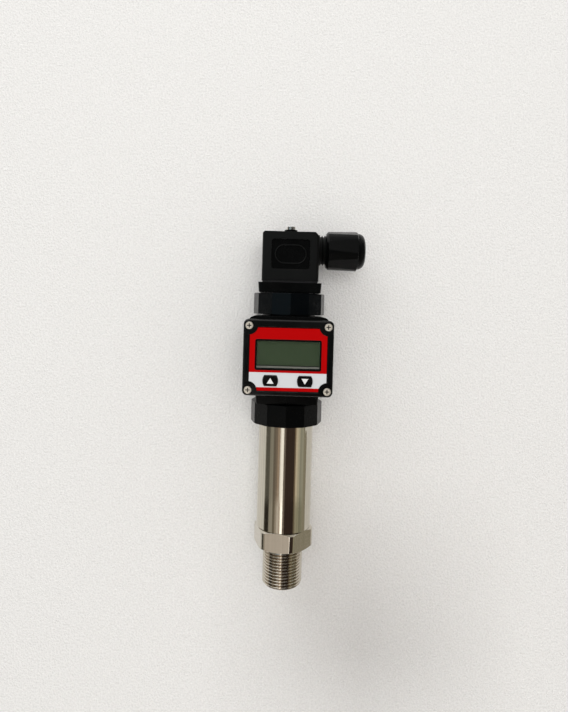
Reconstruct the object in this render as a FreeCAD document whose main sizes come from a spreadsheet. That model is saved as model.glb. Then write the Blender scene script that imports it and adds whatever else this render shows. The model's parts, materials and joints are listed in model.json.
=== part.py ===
"""Pressure transmitter with a plug-in display: stainless body, display module and cable plug.

Millimetres. The origin is the centre of the sealing shoulder under the hexagon. +Z runs up
the body's axis, the display faces -Y and the cable gland points along +X.
"""
import FreeCAD, Part
import math
import operator
import os
import Sketcher

Vector = FreeCAD.Vector
Rotation = FreeCAD.Rotation

# ---------------------------------------------------------------- driving dimensions

SIZES = [
    # process connection
    ("thread_diameter", 20.0),
    ("thread_length", 20.0),
    ("thread_chamfer", 1.25),
    ("port_diameter", 4.0),
    ("hex_flats", 27.0),
    ("hex_turned_diameter", 30.0),
    ("hex_face_diameter", 26.0),
    ("hex_chamfer_height", 1.0),
    ("hex_height", 10.0),
    ("hex_turn", -13.5),
    ("spigot_height", 9.0),
    # pressure cell
    ("sensor_diameter", 19.0),
    ("sensor_thickness", 8.0),
    ("sensor_edge", 0.5),
    ("sensor_clearance", 0.05),
    ("sensor_floor", 6.0),
    ("sensor_seal_section", 1.8),
    ("retainer_thickness", 3.0),
    ("retainer_bore", 12.0),
    ("spanner_hole", 2.0),
    ("sensor_pin_diameter", 0.8),
    ("sensor_pin_pitch", 2.54),
    # body tube and amplifier
    ("tube_diameter", 27.5),
    ("tube_bore", 24.0),
    ("tube_visible", 52.5),
    ("holder_height", 4.0),
    ("holder_bore", 19.0),
    ("amplifier_width", 20.0),
    ("amplifier_height", 38.0),
    ("board_thickness", 1.6),
    ("chip_width", 7.0),
    ("chip_thickness", 1.2),
    ("trimmer_width", 4.5),
    ("trimmer_rise", 10.5),
    ("converter_drop", 14.0),
    ("board_slot_depth", 2.5),
    # union between two modules
    ("union_thread", 27.0),
    ("union_thread_clearance", 0.1),
    ("union_thread_chamfer", 0.6),
    ("nut_corners", 35.9),
    ("nut_height", 10.5),
    ("nut_bevel", 0.25),
    ("nut_rim_height", 7.5),
    ("lower_nut_turn", -1.3),
    ("upper_nut_turn", 1.7),
    ("neck_diameter", 22.2),
    ("neck_clearance", 0.2),
    ("neck_depth", 8.0),
    ("neck_wall", 1.8),
    ("snap_ring_thickness", 0.8),
    ("snap_ring_diameter", 26.4),
    ("snap_ring_groove", 1.0),
    ("snap_ring_gap", 4.0),
    ("o_ring_section", 1.7),
    ("o_ring_drop", 3.2),
    # square connector base
    ("flange_gap", 0.4),
    ("flange_foot", 30.1),
    ("flange_width", 30.9),
    ("flange_height", 4.8),
    ("flange_corner", 1.5),
    ("gasket_thickness", 0.9),
    ("gasket_rim", 2.05),
    ("gasket_socket_gap", 0.5),
    ("gasket_corner", 1.4),
    ("blade_width", 4.8),
    ("blade_thickness", 0.8),
    ("blade_rise", 8.0),
    ("blade_tail", 3.5),
    ("blade_distance", 7.0),
    ("blade_clearance", 0.1),
    # display housing
    ("housing_side_inset", 1.75),
    ("housing_height", 37.0),
    ("housing_back", 15.5),
    ("housing_corner", 3.5),
    ("housing_wall", 2.8),
    ("housing_flange", 4.4),
    ("board_pocket_depth", 5.4),
    ("board_ledge", 2.8),
    ("pocket_corner", 2.5),
    ("socket_width", 22.0),
    ("socket_height", 12.0),
    ("socket_corner", 1.0),
    ("socket_ceiling", 2.0),
    ("socket_clearance", 0.1),
    ("collar_height", 0.7),
    # display cover
    ("cover_width", 42.5),
    ("cover_height", 35.9),
    ("cover_overhang", 0.4),
    ("cover_corner", 2.4),
    ("cover_edge", 0.9),
    ("cover_thickness", 4.0),
    ("cover_front", 24.0),
    ("cover_wall", 2.0),
    ("cover_gasket", 0.6),
    ("label_side_border", 3.1),
    ("label_top_border", 3.9),
    ("label_foot_border", 2.5),
    ("label_recess", 0.5),
    ("label_recess_flare", 0.5),
    ("label_thickness", 0.3),
    ("screw_island", 4.2),
    ("cover_screw_side_inset", 2.65),
    ("cover_screw_top_inset", 3.05),
    ("cover_screw_foot_inset", 2.6),
    ("cover_screw_diameter", 2.0),
    ("cover_screw_length", 6.0),
    ("cover_screw_head", 3.65),
    ("cover_screw_head_height", 1.3),
    ("cover_screw_sink", 0.15),
    ("cover_cross_span", 2.1),
    ("cover_cross_slot", 0.5),
    ("screw_clearance", 0.2),
    # liquid crystal display and keys
    ("bezel_width", 31.2),
    ("bezel_height", 14.6),
    ("bezel_corner", 1.0),
    ("bezel_depth", 2.3),
    ("bezel_side_border", 0.6),
    ("bezel_level_border", 0.75),
    ("window_thickness", 0.8),
    ("window_sink", 0.3),
    ("display_rise", 1.4),
    ("display_clearance", 0.2),
    ("glass_thickness", 1.8),
    ("display_corner", 0.4),
    ("display_board_clearance", 0.3),
    ("key_width", 7.1),
    ("key_height", 4.95),
    ("key_side_radius", 4.4),
    ("key_across", 8.1),
    ("key_drop", 10.7),
    ("key_rise", 0.6),
    ("key_gap", 0.15),
    ("key_play", 0.1),
    ("key_travel", 0.5),
    ("key_collar", 0.7),
    ("key_collar_thickness", 0.6),
    ("key_stem", 2.6),
    ("switch_width", 6.0),
    ("switch_height", 2.8),
    ("plunger_diameter", 3.0),
    ("plunger_height", 0.8),
    # fixing screws of the modules
    ("fixing_screw", 3.0),
    ("fixing_head", 5.5),
    ("fixing_head_height", 2.2),
    ("fixing_engagement", 4.0),
    # plug
    ("plug_width", 27.8),
    ("plug_height", 24.0),
    ("plug_corner", 1.5),
    ("plug_chamfer", 2.0),
    ("plug_edge", 0.9),
    ("plug_wall", 2.3),
    ("plug_roof", 2.5),
    ("panel_width", 18.7),
    ("panel_height", 14.6),
    ("panel_corner", 1.4),
    ("panel_depth", 0.9),
    ("panel_rise", 1.0),
    ("ring_width", 15.5),
    ("ring_height", 9.4),
    ("ring_corner", 4.65),
    ("ring_line", 0.5),
    ("ring_relief", 0.4),
    ("insert_height", 9.4),
    ("insert_clearance", 0.1),
    ("terminal_width", 5.6),
    ("terminal_depth", 4.0),
    ("terminal_height", 3.6),
    ("terminal_screw", 2.4),
    ("terminal_screw_height", 0.8),
    ("plug_boss", 7.1),
    ("plug_boss_height", 1.3),
    ("washer_diameter", 6.6),
    ("washer_thickness", 1.1),
    ("plug_screw_head", 5.0),
    ("plug_screw_head_height", 1.6),
    ("plug_screw_slot", 0.9),
    ("plug_screw_slot_depth", 0.8),
    # cable gland
    ("gland_level", 16.35),
    ("gland_boss_reach", 0.8),
    ("gland_boss_diameter", 16.0),
    ("gland_thread", 15.2),
    ("gland_bore", 10.5),
    ("gland_spigot_reach", 14.1),
    ("gland_nut_start", 4.1),
    ("gland_nut_inner_diameter", 19.4),
    ("gland_nut_entry", 1.1),
    ("gland_nut_outer_diameter", 20.3),
    ("gland_nut_flats", 18.9),
    ("gland_nut_taper_length", 15.4),
    ("gland_nut_chamfer", 0.7),
    ("gland_cap_diameter", 18.2),
    ("gland_cap_length", 3.5),
    ("gland_cap_dome", 3.4),
    ("gland_thread_clearance", 0.1),
    ("gland_nut_turn", 12.0),
    ("gland_seal_bore", 7.0),
    ("gland_seal_depth", 8.0),
    ("gland_seal_collar", 13.4),
    ("gland_seal_collar_length", 2.0),
    ("gland_seal_clearance", 0.1),
    ("slip_ring_thickness", 1.0),
    ("cable_hole", 9.0),
]

document = FreeCAD.newDocument("PressureTransmitter")
sheet = document.addObject("Spreadsheet::Sheet", "Sizes")
for row, (alias, length) in enumerate(SIZES, start=1):
    sheet.set(f"A{row}", alias)
    sheet.set(f"B{row}", str(length))
    sheet.setAlias(f"B{row}", alias)
document.recompute()

OPERATIONS = {"+": operator.add, "-": operator.sub, "*": operator.mul, "/": operator.truediv}


class Size:
    """A length that carries its value and the sheet expression behind it."""

    def __init__(self, value, text):
        self.value = float(value)
        self.text = text

    def __add__(self, other):
        return combined(self, "+", other)

    def __radd__(self, other):
        return combined(other, "+", self)

    def __sub__(self, other):
        return combined(self, "-", other)

    def __rsub__(self, other):
        return combined(other, "-", self)

    def __mul__(self, other):
        return combined(self, "*", other)

    def __truediv__(self, other):
        return combined(self, "/", other)

    def __neg__(self):
        return combined(0, "-", self)


def as_size(number):
    """Turn a plain number into a Size and leave a Size as it is."""
    if isinstance(number, Size):
        return number
    return Size(number, repr(float(number)))


def combined(left, sign, right):
    """Join two sizes by one operation, in value and in text."""
    left = as_size(left)
    right = as_size(right)
    return Size(OPERATIONS[sign](left.value, right.value), f"({left.text} {sign} {right.text})")


def root_of_squares(long_side, short_side):
    """The third side of a right triangle from its longest side and another."""
    value = math.sqrt(long_side.value ** 2 - short_side.value ** 2)
    return Size(value, f"sqrt(({long_side.text})^2 - ({short_side.text})^2)")


size = {alias: Size(length, f"Sizes.{alias}") for alias, length in SIZES}

# ---------------------------------------------------------------- modelling helpers

WAYS = {
    "up": Rotation(),
    "right": Rotation(Vector(0, 1, 0), 90),
    "front": Rotation(Vector(1, 0, 0), 90),
}
PLANES = {"up": "XY_Plane", "right": "YZ_Plane", "front": "XZ_Plane"}
pieces = []


def kept(label, item):
    """Name a finished sub-part and put it on the list of pieces to write."""
    item.Label = label
    pieces.append(item)
    return item


def bind(item, target, amount):
    """Bind one property of a document object to a size."""
    item.setExpression(target, as_size(amount).text)


def place(item, x=0, y=0, z=0):
    """Bind the position of a document object."""
    for letter, amount in zip("xyz", (x, y, z)):
        bind(item, f"Placement.Base.{letter}", amount)
    return item


def new_sketch(body, way, start=0):
    """A sketch on the body's own origin plane that faces the given way, moved along it."""
    sketch = body.newObject("Sketcher::SketchObject", body.Name + "_sketch")
    plane = next(item for item in body.Origin.OriginFeatures if item.Role == PLANES[way])
    sketch.AttachmentSupport = (plane, [""])
    sketch.MapMode = "FlatFace"
    bind(sketch, "AttachmentOffset.Base.z", start)
    return sketch


def fix(sketch, kind, amount, *where):
    """Add one dimension to a sketch and bind it to a size."""
    amount = as_size(amount)
    index = sketch.addConstraint(Sketcher.Constraint(kind, *where, amount.value))
    sketch.renameConstraint(index, f"dimension{index}")
    bind(sketch, f"Constraints.dimension{index}", amount)


def fix_point(sketch, geometry, end, across, up):
    """Hold one end of a sketch line at a place measured from the sketch's origin."""
    fix(sketch, "DistanceX", across, -1, 1, geometry, end)
    fix(sketch, "DistanceY", up, -1, 1, geometry, end)


def polygon(sketch, points):
    """A closed outline of straight lines through the given places."""
    places = [Vector(as_size(across).value, as_size(up).value, 0) for across, up in points]
    ends = places[1:] + places[:1]
    sketch.addGeometry([Part.LineSegment(a, b) for a, b in zip(places, ends)], False)
    for index in range(len(points)):
        following = (index + 1) % len(points)
        sketch.addConstraint(Sketcher.Constraint("Coincident", index, 2, following, 1))
    for index, (across, up) in enumerate(points):
        fix_point(sketch, index, 1, across, up)


def rounded_rectangle(sketch, width, height, corner, across, up):
    """A rectangle about a centre, with four equal corner arcs."""
    left = as_size(across - width / 2)
    right = as_size(across + width / 2)
    bottom = as_size(up - height / 2)
    top = as_size(up + height / 2)
    x0, x1, y0, y1 = left.value, right.value, bottom.value, top.value
    r = corner.value
    line_ends = [
        ((x0 + r, y0), (x1 - r, y0)),
        ((x1, y0 + r), (x1, y1 - r)),
        ((x1 - r, y1), (x0 + r, y1)),
        ((x0, y1 - r), (x0, y0 + r)),
    ]
    centres = [(x1 - r, y0 + r), (x1 - r, y1 - r), (x0 + r, y1 - r), (x0 + r, y0 + r)]
    lines = [Part.LineSegment(Vector(*a, 0), Vector(*b, 0)) for a, b in line_ends]
    arcs = []
    for index, centre in enumerate(centres):
        circle = Part.Circle(Vector(*centre, 0), Vector(0, 0, 1), r)
        angle = (index - 1) * math.pi / 2
        arcs.append(Part.ArcOfCircle(circle, angle, angle + math.pi / 2))
    sketch.addGeometry(lines + arcs, False)
    for index in range(4):
        sketch.addConstraint(Sketcher.Constraint("Tangent", index, 2, index + 4, 1))
        sketch.addConstraint(Sketcher.Constraint("Tangent", index + 4, 2, (index + 1) % 4, 1))
        sketch.addConstraint(Sketcher.Constraint(("Horizontal", "Vertical")[index % 2], index))
    for index in range(5, 8):
        sketch.addConstraint(Sketcher.Constraint("Equal", 4, index))
    fix(sketch, "Radius", corner, 4)
    fix(sketch, "DistanceX", left, -1, 1, 3, 1)
    fix(sketch, "DistanceX", right, -1, 1, 1, 1)
    fix(sketch, "DistanceY", bottom, -1, 1, 0, 1)
    fix(sketch, "DistanceY", top, -1, 1, 2, 1)


def turned(name, points, way="up"):
    """A turned body from (radius, place along the axis) pairs."""
    body = document.addObject("PartDesign::Body", name)
    sketch = new_sketch(body, "front")
    if way == "up":
        polygon(sketch, points)
        axis = "V_Axis"
    else:
        polygon(sketch, [(along, radius) for radius, along in points])
        axis = "H_Axis"
    revolution = body.newObject("PartDesign::Revolution", name + "_turn")
    revolution.Profile = sketch
    revolution.ReferenceAxis = (sketch, [axis])
    revolution.Angle = 360
    return body


def padded(name, way, start, depth, draw):
    """A body whose outline is drawn by a function and padded along one way."""
    body = document.addObject("PartDesign::Body", name)
    sketch = new_sketch(body, way, start)
    draw(sketch)
    pad = body.newObject("PartDesign::Pad", name + "_pad")
    pad.Profile = sketch
    bind(pad, "Length", depth)
    return body


def slab(name, way, width, height, corner, start, depth, across=0, up=0):
    """A plate with rounded corners, padded along one way from its start."""
    def draw(sketch):
        rounded_rectangle(sketch, width, height, corner, across, up)
    return padded(name, way, start, depth, draw)


def leaning(spread, height):
    """The angle of a side that moves outward by a spread over a height."""
    return Size(math.degrees(math.atan(spread.value / height.value)),
                f"atan({spread.text} / {height.text})")


def block(name, width, depth, height, x=0, y=0, z=0):
    """A box centred on x and y that stands on z."""
    box = document.addObject("Part::Box", name)
    bind(box, "Length", width)
    bind(box, "Width", depth)
    bind(box, "Height", height)
    return place(box, x - width / 2, y - depth / 2, z)


def rod(name, diameter, length, x=0, y=0, z=0, way="up"):
    """A cylinder that starts at a place and runs up, right or to the front."""
    cylinder = document.addObject("Part::Cylinder", name)
    bind(cylinder, "Radius", diameter / 2)
    bind(cylinder, "Height", length)
    cylinder.Placement.Rotation = WAYS[way]
    return place(cylinder, x, y, z)


def prism(name, sides, flats, height, z=0):
    """An upright regular prism, sized across its flats."""
    item = document.addObject("Part::Prism", name)
    item.Polygon = sides
    half_angle = 180 / sides
    corner = Size(flats.value / 2 / math.cos(math.radians(half_angle)),
                  f"{flats.text} / 2 / cos({half_angle})")
    bind(item, "Circumradius", corner)
    bind(item, "Height", height)
    return place(item, 0, 0, z)


def fused(name, *items):
    """One solid from several that touch or overlap."""
    union = document.addObject("Part::MultiFuse", name)
    union.Shapes = list(items)
    union.Refine = True
    return union


def without(name, base, *tools):
    """The base with every tool taken out of it."""
    result = document.addObject("Part::Cut", name)
    result.Base = base
    result.Tool = tools[0] if len(tools) == 1 else fused(name + "_tools", *tools)
    result.Refine = True
    return result


def shared(name, first, second):
    """What two solids have in common."""
    result = document.addObject("Part::Common", name)
    result.Base = first
    result.Tool = second
    result.Refine = True
    return result


def group(name, items):
    """Several separate solids of one kind in one sub-part."""
    compound = document.addObject("Part::Compound", name)
    compound.Links = list(items)
    return compound


def dress(body, kind, amount, chosen):
    """Fillet or chamfer the edges of a body that the test picks."""
    document.recompute()
    base = body.Tip
    edges = [f"Edge{index}" for index, edge in enumerate(base.Shape.Edges, start=1) if chosen(edge)]
    feature = body.newObject("PartDesign::" + kind, body.Name + "_" + kind.lower())
    feature.Base = (base, edges)
    bind(feature, "Radius" if kind == "Fillet" else "Size", amount)
    body.Tip = feature
    return body


# ---------------------------------------------------------------- levels along the axis

thread_tip = -size["thread_length"]
hex_top = size["hex_height"]
spigot_top = hex_top + size["spigot_height"]
sensor_bottom = size["sensor_floor"] + size["sensor_seal_section"]
sensor_top = sensor_bottom + size["sensor_thickness"]
lower_nut_bottom = hex_top + size["tube_visible"]


def union_levels(nut_bottom):
    """Rim, lip, nut top and flange levels of a union, from its nut's lower face."""
    rim = nut_bottom + size["nut_rim_height"]
    nut_top = nut_bottom + size["nut_height"]
    flange_bottom = nut_top + size["flange_gap"]
    return rim, rim + size["snap_ring_thickness"], nut_top, flange_bottom


lower_rim, _, _, lower_flange_bottom = union_levels(lower_nut_bottom)
lower_flange_top = lower_flange_bottom + size["flange_height"]
housing_bottom = lower_flange_top + size["gasket_thickness"]
housing_top = housing_bottom + size["housing_height"]
upper_nut_bottom = housing_top + size["collar_height"]
upper_rim, _, _, upper_flange_bottom = union_levels(upper_nut_bottom)
upper_flange_top = upper_flange_bottom + size["flange_height"]
plug_bottom = upper_flange_top + size["gasket_thickness"]
plug_top = plug_bottom + size["plug_height"]

tube_bore = size["tube_bore"]
neck_radius = size["neck_diameter"] / 2
union_bore = size["union_thread"] + size["union_thread_clearance"] * 2
screw_hole = size["fixing_screw"] + size["screw_clearance"] * 2

# Distances in front of the axis, for the display.
housing_front = size["cover_front"] - size["cover_thickness"] - size["cover_gasket"]
pocket_floor = housing_front - size["board_pocket_depth"]
board_front = pocket_floor + size["board_thickness"]
cover_back = size["cover_front"] - size["cover_thickness"]
cover_face = size["cover_front"] - size["label_recess"]
label_face = cover_face + size["label_thickness"]
cover_inside = cover_face - size["cover_wall"]

# Heights of the display's front.
cover_bottom = housing_bottom - size["cover_overhang"]
cover_top = cover_bottom + size["cover_height"]
cover_level = cover_bottom + size["cover_height"] / 2
housing_width = size["cover_width"] - size["housing_side_inset"] * 2
pocket_width = housing_width - size["housing_wall"] * 2
pocket_height = size["housing_height"] - size["housing_wall"] * 2
pocket_level = housing_bottom + size["housing_height"] / 2
display_level = cover_level + size["display_rise"]
key_level = cover_level - size["key_drop"]
label_width = size["cover_width"] - size["label_side_border"] * 2
label_top = cover_top - size["label_top_border"]
label_foot = cover_bottom + size["label_foot_border"]
screw_across = size["cover_width"] / 2 - size["cover_screw_side_inset"]
screw_places = [
    (screw_across * side, level)
    for side in (-1, 1)
    for level in (cover_bottom + size["cover_screw_foot_inset"],
                  cover_top - size["cover_screw_top_inset"])
]
key_places = {"up_key": -size["key_across"], "down_key": size["key_across"]}


def blade_spots():
    """Centre and section of the four flat contacts about the axis."""
    distance, width, thickness = size["blade_distance"], size["blade_width"], size["blade_thickness"]
    return [
        (distance, as_size(0), thickness, width),
        (-distance, as_size(0), thickness, width),
        (as_size(0), distance, width, thickness),
        (as_size(0), -distance, width, thickness),
    ]


def blades(name, bottom, height, clearance=0):
    """Four upright flat bars at the contact places."""
    bars = []
    for index, (x, y, wide, deep) in enumerate(blade_spots(), start=1):
        room = as_size(clearance) * 2
        bars.append(block(f"{name}_{index}", wide + room, deep + room, height, x, y, bottom))
    return bars


# ---------------------------------------------------------------- process connection

def build_process_connection():
    """Male thread, hexagon and sensor seat, turned and milled from one bar."""
    thread = size["thread_diameter"] / 2
    port = size["port_diameter"] / 2
    seat = size["sensor_diameter"] / 2 + size["sensor_clearance"]
    core = turned("process_core", [
        (port, thread_tip),
        (thread - size["thread_chamfer"], thread_tip),
        (thread, thread_tip + size["thread_chamfer"]),
        (thread, 0),
        (tube_bore / 2, 0),
        (tube_bore / 2, spigot_top),
        (seat, spigot_top),
        (seat, size["sensor_floor"]),
        (port, size["sensor_floor"]),
    ])
    bar = prism("hex_bar", 6, size["hex_flats"], hex_top)
    bind(bar, "Placement.Rotation.Angle", size["hex_turn"])
    face = size["hex_face_diameter"] / 2
    rim = size["hex_turned_diameter"] / 2
    envelope = turned("hex_envelope", [
        (tube_bore / 2, 0),
        (face, 0),
        (rim, size["hex_chamfer_height"]),
        (rim, hex_top - size["hex_chamfer_height"]),
        (face, hex_top),
        (tube_bore / 2, hex_top),
    ])
    hexagon = shared("hexagon", bar, envelope)
    kept("process_connection", fused("process_connection_solid", core, hexagon))


def build_pressure_cell():
    """Seal, ceramic cell, threaded retaining ring and the cell's four pins."""
    section = size["sensor_seal_section"]
    cell = size["sensor_diameter"] / 2
    seal = document.addObject("Part::Torus", "sensor_seal_ring")
    bind(seal, "Radius1", cell - section / 2)
    bind(seal, "Radius2", section / 2)
    place(seal, 0, 0, size["sensor_floor"] + section / 2)
    kept("sensor_seal", seal)

    edge = size["sensor_edge"]
    kept("pressure_sensor_cell", turned("sensor_cell_disc", [
        (0, sensor_bottom),
        (cell - edge, sensor_bottom),
        (cell, sensor_bottom + edge),
        (cell, sensor_top - edge),
        (cell - edge, sensor_top),
        (0, sensor_top),
    ]))

    ring_top = sensor_top + size["retainer_thickness"]
    bore = size["retainer_bore"] / 2
    ring = turned("retainer_ring", [(bore, sensor_top), (cell, sensor_top), (cell, ring_top), (bore, ring_top)])
    middle = (bore + cell) / 2
    holes = [
        rod(f"spanner_hole_{index}", size["spanner_hole"], size["retainer_thickness"], middle * side, 0,
            sensor_top)
        for index, side in enumerate((-1, 1), start=1)
    ]
    kept("sensor_retaining_ring", without("retainer_ring_drilled", ring, *holes))

    pins = [
        rod(f"sensor_pin_{index}", size["sensor_pin_diameter"], amplifier_bottom - sensor_top,
            size["sensor_pin_pitch"] * step, 0, sensor_top)
        for index, step in enumerate((-1.5, -0.5, 0.5, 1.5), start=1)
    ]
    kept("sensor_pins", group("sensor_pin_row", pins))


# ---------------------------------------------------------------- body tube and amplifier

holder_top = spigot_top + size["holder_height"]
amplifier_bottom = holder_top - size["board_slot_depth"]


def build_housing_tube():
    """Round housing tube, welded to the hexagon, with the union thread at its top."""
    outside = size["tube_diameter"] / 2
    thread = size["union_thread"] / 2
    bore = tube_bore / 2
    chamfer = size["union_thread_chamfer"]
    kept("housing_tube", turned("tube", [
        (bore, hex_top),
        (outside, hex_top),
        (outside, lower_nut_bottom),
        (thread, lower_nut_bottom),
        (thread, lower_rim - chamfer),
        (thread - chamfer, lower_rim),
        (bore, lower_rim),
    ]))


def build_amplifier():
    """Circuit board on edge in a slotted ring that rests on the sensor spigot."""
    inside = size["holder_bore"] / 2
    ring = turned("holder_ring", [
        (inside, spigot_top),
        (tube_bore / 2, spigot_top),
        (tube_bore / 2, holder_top),
        (inside, holder_top),
    ])
    width, thickness = size["amplifier_width"], size["board_thickness"]
    slot = block("holder_slot", width, thickness, size["board_slot_depth"], 0, 0, amplifier_bottom)
    kept("board_holder", without("holder_slotted", ring, slot))
    kept("amplifier_board", block("amplifier", width, thickness, size["amplifier_height"], 0, 0,
                                  amplifier_bottom))
    chip, chip_depth = size["chip_width"], size["chip_thickness"]
    trimmer = size["trimmer_width"]
    middle = amplifier_bottom + size["amplifier_height"] / 2
    chip_y = -(thickness + chip_depth) / 2
    trimmer_y = -(thickness + trimmer) / 2
    trimmer_z = middle + size["trimmer_rise"]
    converter_z = middle - size["converter_drop"]
    kept("amplifier_parts", group("amplifier_part_set", [
        block("amplifier_chip", chip, chip_depth, chip, 0, chip_y, middle - chip / 2),
        block("converter_chip", chip, chip_depth, chip, 0, chip_y, converter_z),
        block("zero_trimmer", trimmer, trimmer, trimmer, -trimmer, trimmer_y, trimmer_z),
        block("span_trimmer", trimmer, trimmer, trimmer, trimmer, trimmer_y, trimmer_z),
    ]))


# ---------------------------------------------------------------- unions

def build_union(side, nut_bottom, nut_turn):
    """Twelve-sided nut, snap ring, O-ring and square connector base of one joint."""
    rim, lip, nut_top, flange_bottom = union_levels(nut_bottom)
    flange_top = flange_bottom + size["flange_height"]
    build_union_nut(side, nut_bottom, nut_turn, lip, nut_top)
    build_snap_ring(side, rim)
    build_neck_seal(side, rim)
    build_base(side, rim, flange_bottom, flange_top)

    inner = size["socket_width"] + size["gasket_socket_gap"] * 2
    outer = inner + size["gasket_rim"] * 2
    plate = slab(f"{side}_gasket_plate", "up", outer, outer, size["gasket_corner"], flange_top,
                 size["gasket_thickness"])
    opening = block(f"{side}_gasket_opening", inner, inner, size["gasket_thickness"], 0, 0, flange_top)
    kept(f"{side}_square_gasket", without(f"{side}_gasket_frame", plate, opening))

    foot = flange_bottom - size["blade_tail"]
    height = size["blade_tail"] + size["flange_height"] + size["blade_rise"]
    kept(f"{side}_contact_blades", group(f"{side}_blade_set", blades(f"{side}_blade", foot, height)))


def build_union_nut(side, nut_bottom, nut_turn, lip, nut_top):
    """Nut with the union thread below and a lip above that clamps the snap ring."""
    corner = size["nut_corners"] / 2
    bevel = size["nut_bevel"]
    blank = document.addObject("Part::Prism", f"{side}_nut_bar")
    blank.Polygon = 12
    bind(blank, "Circumradius", corner)
    bind(blank, "Height", size["nut_height"])
    place(blank, 0, 0, nut_bottom)
    bind(blank, "Placement.Rotation.Angle", nut_turn)
    thread = union_bore / 2
    chamfer = size["union_thread_chamfer"]
    envelope = turned(f"{side}_nut_envelope", [
        (thread + chamfer, nut_bottom),
        (corner - bevel, nut_bottom),
        (corner, nut_bottom + bevel),
        (corner, nut_top - bevel),
        (corner - bevel, nut_top),
        (neck_radius + size["neck_clearance"], nut_top),
        (neck_radius + size["neck_clearance"], lip),
        (thread, lip),
        (thread, nut_bottom + chamfer),
    ])
    kept(f"{side}_union_nut", shared(f"{side}_nut", blank, envelope))


def build_snap_ring(side, rim):
    """Open spring ring in the neck's groove, between the rim and the nut's lip."""
    inside = neck_radius - size["snap_ring_groove"]
    outside = size["snap_ring_diameter"] / 2
    top = rim + size["snap_ring_thickness"]
    ring = turned(f"{side}_ring_blank", [(inside, rim), (outside, rim), (outside, top), (inside, top)])
    gap = block(f"{side}_ring_gap", size["snap_ring_gap"], outside, size["snap_ring_thickness"],
                0, outside / 2 + neck_radius / 2, rim)
    kept(f"{side}_snap_ring", without(f"{side}_ring", ring, gap))


def build_neck_seal(side, rim):
    """O-ring between the base's neck and the bore that it dips into."""
    section = size["o_ring_section"]
    ring = document.addObject("Part::Torus", f"{side}_seal_ring")
    bind(ring, "Radius1", tube_bore / 2 - section / 2)
    bind(ring, "Radius2", section / 2)
    place(ring, 0, 0, rim - size["o_ring_drop"])
    kept(f"{side}_neck_seal", ring)


def build_base(side, rim, flange_bottom, flange_top):
    """Square flange that widens upward, on a round grooved neck."""
    section = size["o_ring_section"]
    inside = neck_radius - size["neck_wall"]
    ring_groove = neck_radius - size["snap_ring_groove"]
    seal_groove = tube_bore / 2 - section
    neck_bottom = rim - size["neck_depth"]
    seal_level = rim - size["o_ring_drop"]
    neck = turned(f"{side}_neck", [
        (inside, neck_bottom),
        (neck_radius, neck_bottom),
        (neck_radius, seal_level - section / 2),
        (seal_groove, seal_level - section / 2),
        (seal_groove, seal_level + section / 2),
        (neck_radius, seal_level + section / 2),
        (neck_radius, rim),
        (ring_groove, rim),
        (ring_groove, rim + size["snap_ring_thickness"]),
        (neck_radius, rim + size["snap_ring_thickness"]),
        (neck_radius, flange_bottom),
        (inside, flange_bottom),
    ])
    foot = size["flange_foot"]
    flange = slab(f"{side}_flange", "up", foot, foot, size["flange_corner"], flange_bottom,
                  size["flange_height"])
    bind(flange.Tip, "TaperAngle", leaning((size["flange_width"] - foot) / 2, size["flange_height"]))
    slots = blades(f"{side}_slot", flange_bottom, size["flange_height"])
    hole = rod(f"{side}_screw_hole", size["fixing_screw"], size["flange_height"], 0, 0, flange_bottom)
    solid = fused(f"{side}_base_solid", neck, flange)
    kept(f"{side}_base", without(f"{side}_base_slotted", solid, hole, *slots))


# ---------------------------------------------------------------- display housing

def pocket_plate(name, start, depth):
    """The rounded outline shared by the housing's mouth, its gasket and the cover's back."""
    return slab(name, "front", pocket_width, pocket_height, size["pocket_corner"], start, depth,
                0, pocket_level)


def cover_plate(name, start, depth):
    """The cover's outer outline, which the housing's flange and the gasket repeat."""
    return slab(name, "front", size["cover_width"], size["cover_height"], size["cover_corner"], start,
                depth, 0, cover_level)


def cover_screw_rods(name, diameter, start, depth):
    """Four rods to the front at the cover screws."""
    return [
        rod(f"{name}_{index}", diameter, depth, across, -start, up, "front")
        for index, (across, up) in enumerate(screw_places, start=1)
    ]


screw_seat = size["cover_front"] - size["cover_screw_sink"] - size["cover_screw_head_height"]
screw_tip = screw_seat - size["cover_screw_length"]
cover_screw_hole = size["cover_screw_diameter"] + size["screw_clearance"]
socket_top = housing_bottom + size["socket_height"]
inner_floor = socket_top + size["socket_ceiling"]


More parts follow.
